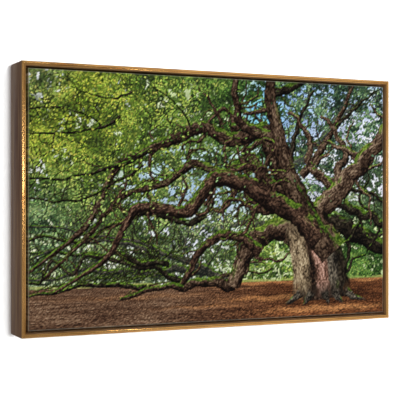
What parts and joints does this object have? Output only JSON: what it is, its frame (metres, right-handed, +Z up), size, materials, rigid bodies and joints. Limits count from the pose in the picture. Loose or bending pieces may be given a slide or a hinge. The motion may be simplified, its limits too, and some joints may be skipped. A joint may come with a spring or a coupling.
{
  "type": "framed canvas picture",
  "caption": "Wide canvas print of an old spreading oak, stretched over wooden bars and held in a thin gold floater frame with a narrow shadow gap, for hanging on a wall.",
  "frame": {"origin": "the middle of the flat back of the frame's top rail, where the picture is held against a wall", "axes": "+Y goes into the wall, so the picture faces -Y; +X runs along the picture to the viewer's right; +Z is up"},
  "size_m": [0.521, 0.0524, 0.3295],
  "materials": {
    "moulding": "gold metal leaf over a brown ground, satin, with bronze-brown outer sides",
    "canvas": "primed cotton canvas with a matt print on its face and edges",
    "pine": "planed, unfinished",
    "steel": "zinc plated",
    "brass": "brass plated",
    "rubber": "matt"
  },
  "bodies": {
    "root": {"frame_bottom": "moulding", "frame_right": "moulding", "frame_top": "moulding", "frame_left": "moulding", "stretcher_bottom": "pine", "stretcher_right": "pine", "stretcher_top": "pine", "stretcher_left": "pine", "canvas": "canvas", "screw_bottom_1": "steel", "screw_bottom_2": "steel", "screw_left_1": "steel", "screw_right_1": "steel", "screw_top_1": "steel", "screw_top_2": "steel", "hanger_left": "brass", "nail_left_1": "brass", "nail_left_2": "brass", "bumper_left": "rubber", "hanger_right": "brass", "nail_right_1": "brass", "nail_right_2": "brass", "bumper_right": "rubber"}
  },
  "joints": []
}
